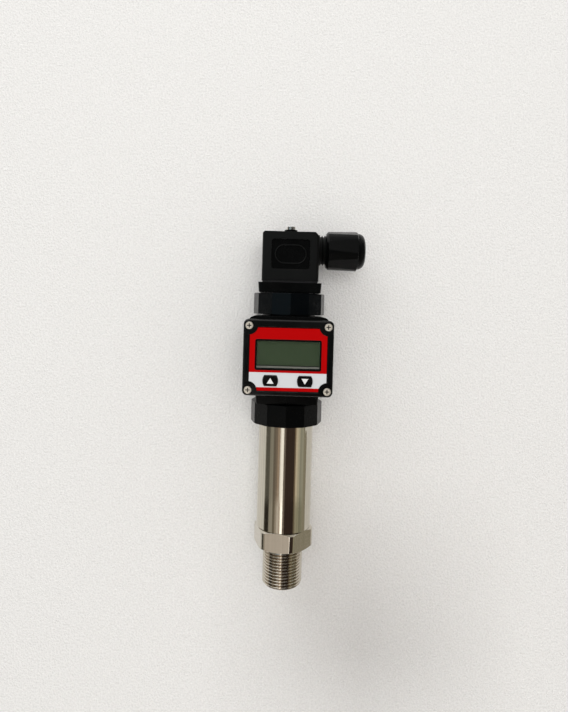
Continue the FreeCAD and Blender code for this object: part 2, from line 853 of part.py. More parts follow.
def build_display_housing():
    """Moulded rear housing with a threaded neck above and a square socket below."""
    shell = slab("housing_shell", "front", housing_width, size["housing_height"],
                 size["housing_corner"], -size["housing_back"], size["housing_back"] + housing_front,
                 0, pocket_level)
    flange = cover_plate("housing_front_flange", housing_front - size["housing_flange"],
                         size["housing_flange"])
    thread = size["union_thread"] / 2
    chamfer = size["union_thread_chamfer"]
    neck = turned("housing_neck", [
        (0, housing_top - size["housing_wall"]),
        (thread, housing_top - size["housing_wall"]),
        (thread, upper_rim - chamfer),
        (thread - chamfer, upper_rim),
        (0, upper_rim),
    ])
    mouth = pocket_plate("housing_mouth", pocket_floor, size["board_pocket_depth"])
    chamber_width = pocket_width - size["board_ledge"] * 2
    chamber_top = housing_top - size["housing_wall"]
    chamber_depth = size["housing_back"] - size["housing_wall"] + housing_front
    chamber = slab("housing_chamber", "front", chamber_width, chamber_top - inner_floor,
                   size["pocket_corner"], size["housing_wall"] - size["housing_back"], chamber_depth,
                   0, (chamber_top + inner_floor) / 2)
    bore = rod("housing_neck_bore", tube_bore, upper_rim - pocket_level, 0, 0, pocket_level)
    socket = slab("housing_socket", "up", size["socket_width"], size["socket_width"],
                  size["socket_corner"], housing_bottom, size["socket_height"])
    hole = rod("housing_screw_hole", screw_hole, size["socket_ceiling"], 0, 0, socket_top)
    threads = cover_screw_rods("housing_thread", size["cover_screw_diameter"], screw_tip,
                               housing_front - screw_tip)
    solid = fused("housing_solid", shell, flange, neck)
    kept("display_housing", without("housing_hollow", solid, mouth, chamber, bore, socket, hole, *threads))


def build_display_socket():
    """Contact socket in the housing's underside, and the screw that holds the module down."""
    width = size["socket_width"] - size["socket_clearance"] * 2
    body = slab("socket_block", "up", width, width, size["socket_corner"], housing_bottom,
                size["socket_height"])
    slots = blades("socket_slot", housing_bottom, size["blade_rise"], size["blade_clearance"])
    hole = rod("socket_screw_hole", screw_hole, size["socket_height"], 0, 0, housing_bottom)
    kept("display_socket", without("socket_slotted", body, hole, *slots))
    tip = lower_flange_top - size["fixing_engagement"]
    kept("display_fixing_screw", fixing_screw("display_screw", tip, inner_floor, size["fixing_head"],
                                              size["fixing_head_height"]))


def fixing_screw(name, tip, seat, head, head_height):
    """A slotted cylinder-head screw along the axis."""
    shank = size["fixing_screw"] / 2
    top = seat + head_height
    screw = turned(f"{name}_blank", [
        (0, tip),
        (shank, tip),
        (shank, seat),
        (head / 2, seat),
        (head / 2, top),
        (0, top),
    ])
    slot = block(f"{name}_slot", head, size["plug_screw_slot"], size["plug_screw_slot_depth"], 0, 0,
                 top - size["plug_screw_slot_depth"])
    return without(f"{name}_slotted", screw, slot)


# ---------------------------------------------------------------- display cover and face

def key_outline(sketch, across, grow):
    """A key's outline: flat above and below, with sides that bulge outward."""
    radius = size["key_side_radius"] + grow
    half_width = size["key_width"] / 2 + grow
    half_height = size["key_height"] / 2 + grow
    reach = root_of_squares(radius, half_height)
    corner = half_width - radius + reach
    centre = half_width - radius
    top = key_level + half_height
    bottom = key_level - half_height
    right, left = as_size(across + corner), as_size(across - corner)
    angle = math.asin(half_height.value / radius.value)
    sketch.addGeometry([
        Part.LineSegment(Vector(left.value, bottom.value, 0), Vector(right.value, bottom.value, 0)),
        Part.LineSegment(Vector(right.value, top.value, 0), Vector(left.value, top.value, 0)),
        Part.ArcOfCircle(Part.Circle(Vector((across + centre).value, key_level.value, 0),
                                     Vector(0, 0, 1), radius.value), -angle, angle),
        Part.ArcOfCircle(Part.Circle(Vector((across - centre).value, key_level.value, 0),
                                     Vector(0, 0, 1), radius.value), math.pi - angle, math.pi + angle),
    ], False)
    for first, first_end, second, second_end in ((0, 2, 2, 1), (2, 2, 1, 1), (1, 2, 3, 1), (3, 2, 0, 1)):
        sketch.addConstraint(Sketcher.Constraint("Coincident", first, first_end, second, second_end))
    fix_point(sketch, 0, 1, left, bottom)
    fix_point(sketch, 0, 2, right, bottom)
    fix_point(sketch, 1, 1, right, top)
    fix_point(sketch, 1, 2, left, top)
    fix(sketch, "Radius", radius, 2)
    fix(sketch, "Radius", radius, 3)


def key_plate(name, across, grow, start, depth):
    """A plate with the key's outline, grown on every side by a margin."""
    def draw(sketch):
        key_outline(sketch, across, as_size(grow))
    return padded(name, "front", start, depth, draw)


def key_openings(name, start, depth):
    """The two openings that the keys come through."""
    return [
        key_plate(f"{name}_{key}", across, size["key_gap"], start, depth)
        for key, across in key_places.items()
    ]


def bezel_plate(name, start, depth):
    """The outer rectangle of the black border round the display."""
    return slab(name, "front", size["bezel_width"], size["bezel_height"], size["bezel_corner"], start,
                depth, 0, display_level)


def window_plate(name, margin, start, depth):
    """The inner rectangle of the border, less a margin on every side."""
    width = size["bezel_width"] - (size["bezel_side_border"] + margin) * 2
    height = size["bezel_height"] - (size["bezel_level_border"] + margin) * 2
    return slab(name, "front", width, height, size["display_corner"], start, depth, 0, display_level)


def label_plate(name, start, depth, flare=0):
    """The face's outline: a rectangle cut back by an arc about each cover screw."""
    plate = slab(f"{name}_plate", "front", label_width, label_top - label_foot, size["display_corner"],
                 start, depth, 0, (label_top + label_foot) / 2)
    bind(plate.Tip, "TaperAngle", leaning(as_size(flare), depth))
    islands = cover_screw_rods(f"{name}_island", size["screw_island"] * 2, start, depth)
    return without(name, plate, *islands)


def build_display_cover():
    """Cover frame with a raised rim, and the gasket behind it."""
    def front_edge(edge):
        """The outline of the cover's front face."""
        return edge.BoundBox.YMax < -size["cover_front"].value + 0.01

    rim = dress(cover_plate("cover_blank", cover_back, size["cover_thickness"]), "Fillet",
                size["cover_edge"], front_edge)
    recess = label_plate("cover_recess", cover_face, size["label_recess"], size["label_recess_flare"])
    cavity = pocket_plate("cover_cavity", cover_back, cover_inside - cover_back)
    window = bezel_plate("cover_window", cover_back, size["cover_thickness"])
    openings = key_openings("cover_opening", cover_back, size["cover_thickness"])
    holes = cover_screw_rods("cover_hole", cover_screw_hole, cover_back, size["cover_thickness"])
    sinks = cover_screw_rods("cover_sink", size["cover_screw_head"] + size["screw_clearance"],
                             screw_seat, size["cover_front"] - screw_seat)
    kept("display_cover", without("cover_frame", rim, recess, cavity, window, *openings, *holes, *sinks))

    sheet_blank = cover_plate("gasket_blank", housing_front, size["cover_gasket"])
    mouth = pocket_plate("gasket_mouth", housing_front, size["cover_gasket"])
    gasket_holes = cover_screw_rods("gasket_hole", cover_screw_hole, housing_front, size["cover_gasket"])
    kept("display_cover_gasket", without("cover_gasket_frame", sheet_blank, mouth, *gasket_holes))


def build_cover_screws():
    """Four cover screws with low rounded heads and cross recesses."""
    screws = []
    arms = size["cover_cross_span"]
    arm_width = size["cover_cross_slot"]
    arm_depth = size["cover_screw_head_height"] / 2
    head_front = size["cover_front"] - size["cover_screw_sink"]
    for index, (across, up) in enumerate(screw_places, start=1):
        shank = rod(f"cover_shank_{index}", size["cover_screw_diameter"], size["cover_screw_length"],
                    across, -screw_tip, up, "front")
        head = rod(f"cover_head_{index}", size["cover_screw_head"], size["cover_screw_head_height"],
                   across, -screw_seat, up, "front")
        y = -head_front + arm_depth / 2
        level_arm = block(f"cover_cross_{index}", arms, arm_depth, arm_width, across, y,
                          up - arm_width / 2)
        upright_arm = block(f"cover_upright_{index}", arm_width, arm_depth, arms, across, y,
                            up - arms / 2)
        solid = fused(f"cover_screw_blank_{index}", shank, head)
        screws.append(without(f"cover_screw_{index}", solid, level_arm, upright_arm))
    kept("cover_screws", group("cover_screw_set", screws))


def build_face():
    """Printed face plate, black border, pane, display glass and its backlight block."""
    face = label_plate("face_blank", cover_face, size["label_thickness"])
    window = bezel_plate("face_window", cover_face, size["label_thickness"])
    openings = key_openings("face_opening", cover_face, size["label_thickness"])
    kept("face_label", without("face_plate", face, window, *openings))

    bezel_front = cover_inside + size["bezel_depth"]
    border = bezel_plate("bezel_blank", cover_inside, size["bezel_depth"])
    hole = window_plate("bezel_hole", as_size(0), cover_inside, size["bezel_depth"])
    kept("lcd_bezel", without("bezel_frame", border, hole))

    pane_back = bezel_front - size["window_sink"] - size["window_thickness"]
    kept("lcd_window", window_plate("window_pane", as_size(0), pane_back, size["window_thickness"]))
    glass_back = pane_back - size["glass_thickness"]
    kept("lcd_panel", window_plate("display_glass", size["display_clearance"], glass_back,
                                   size["glass_thickness"]))
    kept("lcd_backlight", window_plate("backlight_block", size["display_clearance"], board_front,
                                       glass_back - board_front))


def build_display_board():
    """Circuit board on the housing's ledges, with two push switches and two chips."""
    gap = size["display_board_clearance"]
    kept("display_board", slab("display_board_plate", "front", pocket_width - gap * 2,
                               pocket_height - gap * 2, size["pocket_corner"], pocket_floor,
                               size["board_thickness"], 0, pocket_level))
    chip = size["chip_width"]
    depth = size["chip_thickness"]
    kept("display_chips", group("display_chip_set", [
        block(f"display_chip_{index}", chip, depth, chip, chip * side, -pocket_floor + depth / 2,
              display_level)
        for index, side in enumerate((-1, 1), start=1)
    ]))
    width = size["switch_width"]
    plunger_start = board_front + size["switch_height"]
    for key, across in key_places.items():
        name = key.replace("key", "switch")
        body = block(f"{name}_body", width, size["switch_height"], width, across,
                     -board_front - size["switch_height"] / 2, key_level - width / 2)
        plunger = rod(f"{name}_plunger", size["plunger_diameter"], size["plunger_height"], across,
                      -plunger_start, key_level, "front")
        kept(name, fused(f"{name}_solid", body, plunger))


def build_keys():
    """Two keys, each held behind the cover by its collar, with a stem to its switch."""
    plunger_front = board_front + size["switch_height"] + size["plunger_height"]
    stem_back = plunger_front + size["key_travel"] + size["display_clearance"]
    collar_front = cover_inside - size["key_play"]
    collar_back = collar_front - size["key_collar_thickness"]
    key_front = label_face + size["key_rise"]
    for key, across in key_places.items():
        cap = key_plate(f"{key}_cap", across, 0, collar_back, key_front - collar_back)
        collar = key_plate(f"{key}_collar", across, size["key_collar"], collar_back,
                           size["key_collar_thickness"])
        stem = rod(f"{key}_stem", size["key_stem"], collar_back - stem_back, across, -stem_back,
                   key_level, "front")
        kept(key, fused(f"{key}_solid", cap, collar, stem))


# ---------------------------------------------------------------- plug

gland_level = plug_bottom + size["gland_level"]
plug_side = size["plug_width"] / 2
plug_inside = size["plug_width"] - size["plug_wall"] * 2
spigot_end = plug_side + size["gland_spigot_reach"]


def build_plug():
    """Square plug with a recessed front panel, a top boss and the gland's spigot."""
    width = size["plug_width"]
    blank = slab("plug_blank", "up", width, width, size["plug_corner"], plug_bottom, size["plug_height"])
    chamfer, edge = size["plug_chamfer"], size["plug_edge"]

    def front_outline(sketch):
        polygon(sketch, [
            (-plug_side, plug_bottom),
            (plug_side, plug_bottom),
            (plug_side, plug_top - chamfer),
            (plug_side - chamfer, plug_top),
            (edge - plug_side, plug_top),
            (-plug_side, plug_top - edge),
        ])

    profile = padded("plug_profile", "front", -plug_side, width, front_outline)
    shaped = shared("plug_shaped", blank, profile)
    boss = rod("plug_boss", size["plug_boss"], size["plug_boss_height"], 0, 0, plug_top)
    spigot_outside = size["gland_thread"] / 2
    boss_face = plug_side + size["gland_boss_reach"]
    boss_radius = size["gland_boss_diameter"] / 2
    spigot = turned("gland_spigot", [
        (0, plug_side - size["plug_wall"]),
        (boss_radius, plug_side - size["plug_wall"]),
        (boss_radius, boss_face),
        (spigot_outside, boss_face),
        (spigot_outside, spigot_end),
        (0, spigot_end),
    ], "right")
    place(spigot, 0, 0, gland_level)
    cavity_height = size["plug_height"] - size["plug_roof"]
    cavity = slab("plug_cavity", "up", plug_inside, plug_inside, size["plug_corner"], plug_bottom,
                  cavity_height)
    bore = rod("gland_bore", size["gland_bore"], spigot_end, 0, 0, gland_level, "right")
    panel_level = plug_bottom + size["plug_height"] / 2 + size["panel_rise"]
    panel_floor = plug_side - size["panel_depth"]
    panel = slab("panel_recess", "front", size["panel_width"], size["panel_height"],
                 size["panel_corner"], panel_floor, size["panel_depth"], 0, panel_level)
    roof_height = size["plug_roof"] + size["plug_boss_height"]
    hole = rod("plug_screw_hole", screw_hole, roof_height, 0, 0, plug_top - size["plug_roof"])
    solid = fused("plug_solid", shaped, boss, spigot)
    hollow = without("plug_hollow", solid, cavity, bore, panel, hole)

    outer_height = size["ring_height"]
    line = size["ring_line"]
    corner = size["ring_corner"]
    oval = slab("oval_outer", "front", size["ring_width"], outer_height, corner, panel_floor,
                size["ring_relief"], 0, panel_level)
    inner_oval = slab("oval_inner", "front", size["ring_width"] - line * 2, outer_height - line * 2,
                      corner - line, panel_floor, size["ring_relief"], 0, panel_level)
    ring = without("oval_ring", oval, inner_oval)
    kept("plug_housing", fused("plug_housing_solid", hollow, ring))


def build_plug_insert():
    """Contact carrier that fills the plug's mouth, with its four screw terminals."""
    gap = size["insert_clearance"]
    width = plug_inside - gap * 2
    height = size["insert_height"]
    body = slab("insert_block", "up", width, width, size["plug_corner"], plug_bottom, height)
    slots = blades("insert_slot", plug_bottom, size["blade_rise"], size["blade_clearance"])
    hole = rod("insert_screw_hole", screw_hole, height, 0, 0, plug_bottom)
    kept("plug_insert", without("insert_slotted", body, hole, *slots))

    top = plug_bottom + height
    terminals = []
    for index, (x, y, wide, deep) in enumerate(blade_spots(), start=1):
        along_x = wide.value > deep.value
        wide_side = size["terminal_width"] if along_x else size["terminal_depth"]
        deep_side = size["terminal_depth"] if along_x else size["terminal_width"]
        clamp = block(f"terminal_block_{index}", wide_side, deep_side, size["terminal_height"], x, y, top)
        screw = rod(f"terminal_screw_{index}", size["terminal_screw"], size["terminal_screw_height"],
                    x, y, top + size["terminal_height"])
        terminals.append(fused(f"terminal_{index}", clamp, screw))
    kept("plug_terminals", group("terminal_set", terminals))


def build_plug_screw():
    """The long slotted screw that holds the plug down, on its dark washer."""
    washer_bottom = plug_top + size["plug_boss_height"]
    seat = washer_bottom + size["washer_thickness"]
    outside = size["washer_diameter"] / 2
    inside = screw_hole / 2
    kept("plug_screw_washer", turned("washer_ring", [
        (inside, washer_bottom),
        (outside, washer_bottom),
        (outside, seat),
        (inside, seat),
    ]))
    tip = upper_flange_top - size["fixing_engagement"]
    kept("plug_screw", fixing_screw("plug_screw", tip, seat, size["plug_screw_head"],
                                    size["plug_screw_head_height"]))


# ---------------------------------------------------------------- cable gland

def build_gland():
    """Rubber seal, slip ring and gland nut along the spigot's axis."""
    seal_end = spigot_end + size["gland_seal_collar_length"]
    ring_end = seal_end + size["slip_ring_thickness"]
    seal_radius = size["gland_bore"] / 2 - size["gland_seal_clearance"]
    seal_bore = size["gland_seal_bore"] / 2
    collar = size["gland_seal_collar"] / 2
    seal = turned("seal_sleeve", [
        (seal_bore, spigot_end - size["gland_seal_depth"]),
        (seal_radius, spigot_end - size["gland_seal_depth"]),
        (seal_radius, spigot_end),
        (collar, spigot_end),
        (collar, seal_end),
        (seal_bore, seal_end),
    ], "right")
    place(seal, 0, 0, gland_level)
    kept("gland_seal", seal)

    cable = size["cable_hole"] / 2
    ring_radius = size["gland_thread"] / 2 - size["gland_thread_clearance"]
    ring = turned("slip_ring_disc", [
        (cable, seal_end),
        (ring_radius, seal_end),
        (ring_radius, ring_end),
        (cable, ring_end),
    ], "right")
    place(ring, 0, 0, gland_level)
    kept("gland_slip_ring", ring)

    start = plug_side + size["gland_nut_start"]
    taper_end = start + size["gland_nut_taper_length"]
    cap_start = taper_end + size["gland_nut_chamfer"]
    end = cap_start + size["gland_cap_length"]
    thread = size["gland_thread"] / 2 + size["gland_thread_clearance"]
    cap = size["gland_cap_diameter"] / 2
    base = size["gland_nut_inner_diameter"] / 2
    blank = turned("gland_nut_blank", [
        (thread, start),
        (base - size["gland_nut_entry"], start),
        (base, start + size["gland_nut_entry"]),
        (size["gland_nut_outer_diameter"] / 2, taper_end),
        (cap, cap_start),
        (cap, end),
        (cable, end),
        (cable, ring_end),
        (thread, ring_end),
    ], "right")

    def cap_edge(edge):
        """The outer circle at the cap's end."""
        box = edge.BoundBox
        return box.XMin > end.value - 0.01 and box.YMax > cap.value - 0.01

    dress(blank, "Fillet", size["gland_cap_dome"], cap_edge)
    place(blank, 0, 0, gland_level)
    flats = prism("gland_nut_flats", 6, size["gland_nut_flats"], end - start)
    flats.Placement.Rotation = Rotation(Vector(1, 0, 0), -size["gland_nut_turn"].value) * WAYS["right"]
    place(flats, start, 0, gland_level)
    kept("gland_nut", shared("gland_nut_solid", blank, flats))


# ---------------------------------------------------------------- the whole transmitter

build_process_connection()
build_pressure_cell()
build_housing_tube()
build_amplifier()
build_union("lower", lower_nut_bottom, size["lower_nut_turn"])
build_display_housing()
build_display_socket()
build_display_cover()
build_cover_screws()
build_face()
build_display_board()
build_keys()
build_union("upper", upper_nut_bottom, size["upper_nut_turn"])
build_plug()
build_plug_insert()
build_plug_screw()
build_gland()
document.recompute()

for item in document.Objects:
    if {"Invalid", "Error"} & set(item.State):
        raise RuntimeError(f"{item.Label} did not build: {item.State}")
for item in pieces:
    if item.Shape.isNull() or not item.Shape.isValid() or not item.Shape.Solids:
        raise RuntimeError(f"{item.Label} has no valid shape")

os.makedirs("parts", exist_ok=True)
for item in pieces:
    item.Shape.exportStep(f"parts/{item.Label}.step")
    print(f"{item.Label}: {len(item.Shape.Solids)} solid(s), {item.Shape.Volume:.1f} mm3")
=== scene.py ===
"""Looks of the pressure transmitter: finishes, threads, screw heads, printed signs, set and light.

Metres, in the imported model's frame: +Z up the body's axis, the display faces -Y, the gland +X.
"""
import json
import math

import bmesh
import bpy
from mathutils import Matrix, Vector


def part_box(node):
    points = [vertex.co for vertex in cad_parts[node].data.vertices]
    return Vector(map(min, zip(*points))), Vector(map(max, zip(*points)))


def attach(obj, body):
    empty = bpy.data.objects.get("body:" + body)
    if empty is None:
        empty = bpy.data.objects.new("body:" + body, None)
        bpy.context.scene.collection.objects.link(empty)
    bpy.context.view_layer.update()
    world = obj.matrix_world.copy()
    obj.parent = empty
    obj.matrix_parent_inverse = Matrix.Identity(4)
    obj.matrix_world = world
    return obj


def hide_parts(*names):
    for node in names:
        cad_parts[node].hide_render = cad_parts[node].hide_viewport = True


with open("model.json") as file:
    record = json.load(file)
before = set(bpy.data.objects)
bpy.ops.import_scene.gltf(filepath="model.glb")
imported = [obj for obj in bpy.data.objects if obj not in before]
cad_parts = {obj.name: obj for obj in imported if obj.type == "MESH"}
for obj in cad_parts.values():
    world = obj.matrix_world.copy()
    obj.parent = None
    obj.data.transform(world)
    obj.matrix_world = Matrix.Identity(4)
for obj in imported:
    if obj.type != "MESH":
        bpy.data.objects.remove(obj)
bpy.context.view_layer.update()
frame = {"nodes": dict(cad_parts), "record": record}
nodes = frame["nodes"]
MM = 0.001
MICRON = 0.000001
SHARP = math.radians(35)
EVEN = (1, 1, 1)


# ---------------------------------------------------------------- shader helpers

MATERIALS = {}


def new_material(name):
    """A material with its node tree and Principled shader, kept in MATERIALS."""
    material = MATERIALS[name] = bpy.data.materials.new(name)
    material.use_nodes = True
    tree = material.node_tree
    return material, tree, tree.nodes["Principled BSDF"]


def add(tree, kind, **settings):
    """A new node with settings: its own properties, or else the values of its sockets."""
    node = tree.nodes.new("ShaderNode" + kind)
    for name, value in settings.items():
        if hasattr(node, name):
            setattr(node, name, value)
        else:
            node.inputs[name.replace("_", " ").title()].default_value = value
    return node


def noise(tree, scale, stretch=EVEN, detail=3.0):
    """Noise in the object's own metres, finer along the axes that have a larger factor."""
    place = add(tree, "TexCoord")
    mapping = add(tree, "Mapping", scale=stretch)
    texture = add(tree, "TexNoise", scale=scale, detail=detail)
    tree.links.new(place.outputs["Object"], mapping.inputs["Vector"])
    tree.links.new(mapping.outputs["Vector"], texture.inputs["Vector"])
    return texture.outputs["Fac"]


def spread(tree, value, low, high):
    """Map noise, most of which lies between 0.3 and 0.7, onto a range."""
    span = add(tree, "MapRange", from_min=0.3, from_max=0.7, to_min=low, to_max=high)
    tree.links.new(value, span.inputs["Value"])
    return span.outputs["Result"]


def relief(tree, shader, height, depth, edge=0.0):
    """Raise a bump of a real depth, over edges that shade as if rounded."""
    bump = add(tree, "Bump", strength=1.0, distance=depth)
    tree.links.new(height, bump.inputs["Height"])
    if edge:
        soft = add(tree, "Bevel", samples=6, radius=edge)
        tree.links.new(soft.outputs["Normal"], bump.inputs["Normal"])
    tree.links.new(bump.outputs["Normal"], shader.inputs["Normal"])


def tinted(tree, value, dark, light):
    """A colour between two shades, chosen by a value from 0 to 1."""
    mix = add(tree, "Mix", data_type="RGBA", a=(*dark, 1), b=(*light, 1))
    tree.links.new(value, mix.inputs["Factor"])
    return mix.outputs["Result"]


# ---------------------------------------------------------------- materials

def plastic(name, dark, light, roughness, grain=10 * MICRON, edge=0.25 * MM, gloss=0.25):
    """Moulded plastic: fine sparked grain, uneven sheen and softly rounded edges."""
    material, tree, shader = new_material(name)
    mottle, sheen, sparks = noise(tree, 90), noise(tree, 240), noise(tree, 4200, detail=2.0)
    shader.inputs["Specular IOR Level"].default_value = gloss
    tree.links.new(tinted(tree, mottle, dark, light), shader.inputs["Base Color"])
    tree.links.new(spread(tree, sheen, roughness - 0.05, roughness + 0.07),
                   shader.inputs["Roughness"])
    relief(tree, shader, sparks, grain, edge)
    return material


def steel(name, colour, roughness, rings, depth, metallic=1.0, streak=0.92):
    """Turned metal: fine tool rings, faint lines along it and a little dullness here and there."""
    material, tree, shader = new_material(name)
    lengthwise, crosswise = (1, 1, 0.01), (1, 1, 6)
    lines, patches = noise(tree, 1200, lengthwise), noise(tree, 150, crosswise)
    dull = tuple(part * streak for part in colour)
    shader.inputs["Metallic"].default_value = metallic
    tree.links.new(tinted(tree, spread(tree, lines, 0, 1), dull, colour),
                   shader.inputs["Base Color"])
    tree.links.new(spread(tree, patches, roughness - 0.02, roughness + 0.05),
                   shader.inputs["Roughness"])
    relief(tree, shader, noise(tree, 40, rings, detail=4.0), depth, 0.1 * MM)
    return material


def rubber(name):
    """Matt rubber with a dusty bloom."""
    material, tree, shader = new_material(name)
    clean, dusty = (0.008, 0.008, 0.009), (0.02, 0.02, 0.021)
    tree.links.new(tinted(tree, noise(tree, 300), clean, dusty), shader.inputs["Base Color"])
    shader.inputs["Roughness"].default_value = 0.75
    relief(tree, shader, noise(tree, 3000), 10 * MICRON)
    return material


def height_above(tree, level):
    """1 where the surface lies above a level, and 0 below it."""
    place = add(tree, "TexCoord")
    parts = add(tree, "SeparateXYZ")
    test = add(tree, "Math", operation="GREATER_THAN")
    test.inputs[1].default_value = level
    tree.links.new(place.outputs["Object"], parts.inputs["Vector"])
    tree.links.new(parts.outputs["Z"], test.inputs[0])
    return test.outputs["Value"]


def banded(tree, edges, colours):
    """Flat colours in level bands, from the lowest up; one more colour than edges."""
    result = None
    for edge, below, above in zip(edges, colours, colours[1:]):
        mix = add(tree, "Mix", data_type="RGBA", a=(*below, 1), b=(*above, 1))
        if result:
            tree.links.new(result, mix.inputs["A"])
        tree.links.new(height_above(tree, edge), mix.inputs["Factor"])
        result = mix.outputs["Result"]
    return result


RED = (0.45, 0.0006, 0.0012)
WHITE = (0.68, 0.70, 0.715)


def face_print():
    """Red film with a white band behind the keys, under a thin gloss."""
    material, tree, shader = new_material("face_print")
    label_foot, bezel_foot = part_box("face_label")[0][2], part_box("lcd_bezel")[0][2]
    white_foot, white_top = label_foot + 1.6 * MM, bezel_foot - 1.0 * MM
    colour = banded(tree, [white_foot, white_top], [RED, WHITE, RED])
    tree.links.new(colour, shader.inputs["Base Color"])
    shader.inputs["Specular IOR Level"].default_value = 0.03
    tree.links.new(spread(tree, noise(tree, 400), 0.38, 0.46), shader.inputs["Roughness"])
    relief(tree, shader, noise(tree, 2500), 2 * MICRON)
    return material


def display_glass():
    """Dark grey-green liquid crystal glass, with a painted pale reflection along its foot and a
    painted shadow band above it.
    """
    material, tree, shader = new_material("display_glass")
    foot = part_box("lcd_panel")[0][2]
    # The pale band just above the foot is a painted reflection on the clear glass below the
    # polarizer, and the darker band above it is a painted shadow along the polarizer's edge.
    gap, painted_ledge_reflection = (0.004, 0.004, 0.003), (0.27, 0.275, 0.24)
    painted_polarizer_shadow, crystal = (0.02, 0.026, 0.016), (0.052, 0.086, 0.038)
    colour = banded(tree, [foot + 0.1 * MM, foot + 0.95 * MM, foot + 1.5 * MM],
                    [gap, painted_ledge_reflection, painted_polarizer_shadow, crystal])
    tree.links.new(colour, shader.inputs["Base Color"])
    tree.links.new(spread(tree, noise(tree, 500), 0.3, 0.4), shader.inputs["Roughness"])
    return material


def clear_pane():
    """Thin clear pane that lets light through to the display behind it."""
    material, tree, shader = new_material("clear_pane")
    shader.inputs["Base Color"].default_value = (0.02, 0.025, 0.018, 1)
    shader.inputs["Alpha"].default_value = 0.15
    tree.links.new(spread(tree, noise(tree, 60), 0.05, 0.12), shader.inputs["Roughness"])
    return material


steel("tube_steel", (0.7, 0.66, 0.56), 0.07, (1, 1, 160), 0.3 * MICRON, streak=0.76)
steel("bar_steel", (0.66, 0.62, 0.54), 0.1, (1, 1, 90), 0.6 * MICRON)
# Darker brown steel for the thread's roots: painted shade in the grooves.
steel("painted_groove_shade_steel", (0.4, 0.33, 0.26), 0.16, (1, 1, 90), MICRON)
steel("spring_steel", (0.5, 0.5, 0.5), 0.3, EVEN, MICRON)
steel("nickel", (0.82, 0.76, 0.65), 0.35, (30, 30, 30), 2 * MICRON, metallic=0.5)
steel("bright_nickel", (0.86, 0.84, 0.79), 0.16, (30, 30, 30), 2 * MICRON)
steel("brass", (0.75, 0.56, 0.26), 0.3, EVEN, MICRON)
# Dark brown for inside the screws' driving crosses: painted shade in the recess.
plastic("cross_shade", (0.01, 0.008, 0.006), (0.02, 0.017, 0.013), 0.5)
plastic("black_nylon", (0.0016, 0.0018, 0.0018), (0.0026, 0.003, 0.003), 0.22, gloss=0.12)
plastic("plug_nylon", (0.0026, 0.0032, 0.003), (0.0044, 0.005, 0.0048), 0.4, gloss=0.2)
plastic("panel_nylon", (0.0014, 0.0016, 0.0016), (0.0022, 0.0024, 0.0024), 0.24,
        grain=4 * MICRON, edge=0.2 * MM, gloss=0.08)
# Black nylon with a bluish tint for the upper union nut: a painted reflection of the blue-grey
# that its faces reflect.
plastic("black_nylon_painted_blue_reflection", (0.001, 0.0018, 0.0024), (0.0016, 0.0026, 0.0034), 0.22,
        grain=3 * MICRON, gloss=0.18)
plastic("cover_black", (0.0016, 0.0018, 0.0018), (0.0026, 0.003, 0.003), 0.16,
        grain=3 * MICRON, gloss=0.5)
plastic("gloss_black", (0.0012, 0.0012, 0.0012), (0.002, 0.002, 0.002), 0.14,
        grain=2 * MICRON, edge=0.2 * MM, gloss=0.5)
plastic("key_black", (0.0012, 0.0012, 0.0012), (0.002, 0.002, 0.002), 0.14,
        grain=2 * MICRON, edge=0.1 * MM, gloss=0.9)
plastic("white_plastic", (0.7, 0.7, 0.7), (0.78, 0.78, 0.78), 0.5)
plastic("ceramic", (0.75, 0.74, 0.7), (0.82, 0.81, 0.77), 0.3)
plastic("board_green", (0.01, 0.07, 0.03), (0.015, 0.09, 0.04), 0.35)
plastic("sign_white", (0.8, 0.82, 0.8), (0.86, 0.87, 0.86), 0.5, grain=2 * MICRON)
rubber("rubber")
face_print()
display_glass()
clear_pane()

FINISHES = {
    "tube_steel": ["housing_tube"],
    "bar_steel": ["process_connection", "sensor_retaining_ring"],
    "spring_steel": ["lower_snap_ring", "upper_snap_ring"],
    "nickel": ["cover_screws", "display_fixing_screw"],
    "bright_nickel": ["plug_screw"],
    "brass": ["sensor_pins", "lower_contact_blades", "upper_contact_blades", "plug_terminals"],
    "black_nylon": ["lower_union_nut", "lower_base", "upper_base", "plug_insert", "gland_nut",
                    "gland_slip_ring", "plug_screw_washer", "board_holder", "amplifier_parts",
                    "display_housing", "display_socket", "display_chips", "up_switch",
                    "down_switch"],
    "plug_nylon": ["plug_housing"],
    "black_nylon_painted_blue_reflection": ["upper_union_nut"],
    "cover_black": ["display_cover"],
    "gloss_black": ["lcd_bezel"],
    "key_black": ["up_key", "down_key"],
    "white_plastic": ["lcd_backlight"],
    "ceramic": ["pressure_sensor_cell"],
    "board_green": ["amplifier_board", "display_board"],
    "rubber": ["sensor_seal", "lower_neck_seal", "upper_neck_seal", "lower_square_gasket",
               "upper_square_gasket", "display_cover_gasket", "gland_seal"],
    "face_print": ["face_label"],
    "display_glass": ["lcd_panel"],
    "clear_pane": ["lcd_window"],
}


def finish_nodes():
    """Give every CAD node its material."""
    for finish, names in FINISHES.items():
        for name in names:
            data = nodes[name].data
            data.materials.clear()
            data.materials.append(MATERIALS[finish])


finish_nodes()


# ---------------------------------------------------------------- helpers for shapes

def new_piece(name, mesh, material, body):
    """An object from a mesh, with its material, riding on a body."""
    piece = bpy.data.objects.new(name, mesh)
    bpy.context.scene.collection.objects.link(piece)
    mesh.materials.append(MATERIALS[material])
    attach(piece, body)
    return piece


def body_of(node):
    """The body that the record gives a node."""
    bodies = frame["record"]["behaviour"]["bodies"]
    return next(body for body, names in bodies.items() if node in names)


def finish_of(node):
    """The name of a node's material."""
    return next(finish for finish, names in FINISHES.items() if node in names)


def shape_of(node):
    """A CAD node's mesh as editable geometry, with its split corners joined."""
    weld = 0.002 * MM
    shape = bmesh.new()
    shape.from_mesh(nodes[node].data)
    bmesh.ops.remove_doubles(shape, verts=shape.verts, dist=weld)
    return shape


